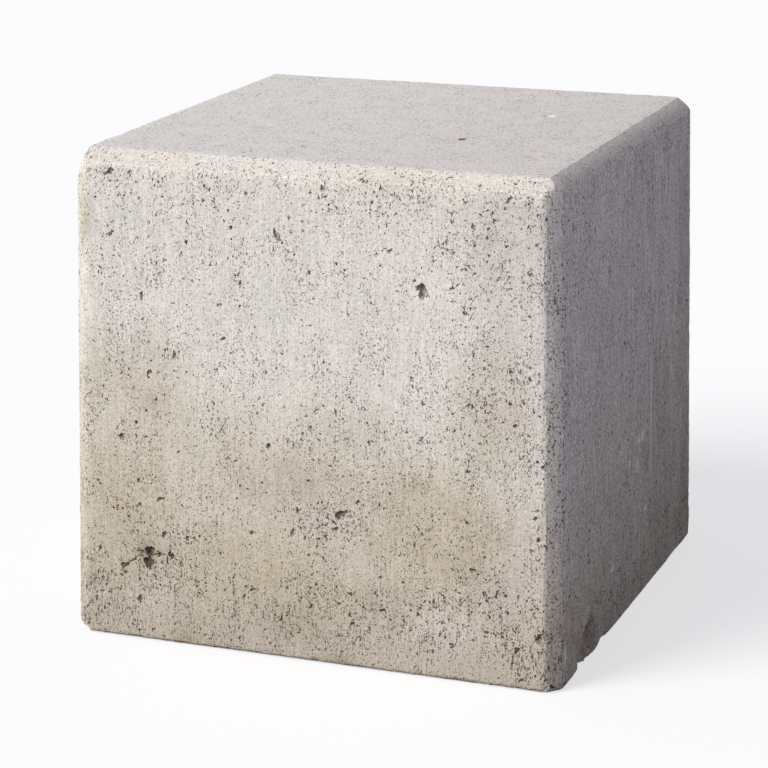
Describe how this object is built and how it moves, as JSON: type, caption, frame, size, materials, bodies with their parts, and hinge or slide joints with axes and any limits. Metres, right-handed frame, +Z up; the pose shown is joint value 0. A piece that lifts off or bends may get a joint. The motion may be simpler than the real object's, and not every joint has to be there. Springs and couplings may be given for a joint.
{
  "type": "solid concrete cube block",
  "caption": "Solid cube of pressed concrete whose sides lean in slightly, with bevelled upright corners and top edge and a worn bottom edge, to stand as a weight, base or support.",
  "frame": {"origin": "middle of the base, on the surface that the block stands on", "axes": "+X to the right along the front, +Y from the front to the back, +Z up"},
  "size_m": [0.364, 0.364, 0.35],
  "materials": {
    "concrete": "dry pressed concrete, pale grey with tan and pinkish patches, pitted all over, with drag marks up the sides"
  },
  "bodies": {
    "root": {"block": "concrete"}
  },
  "joints": []
}
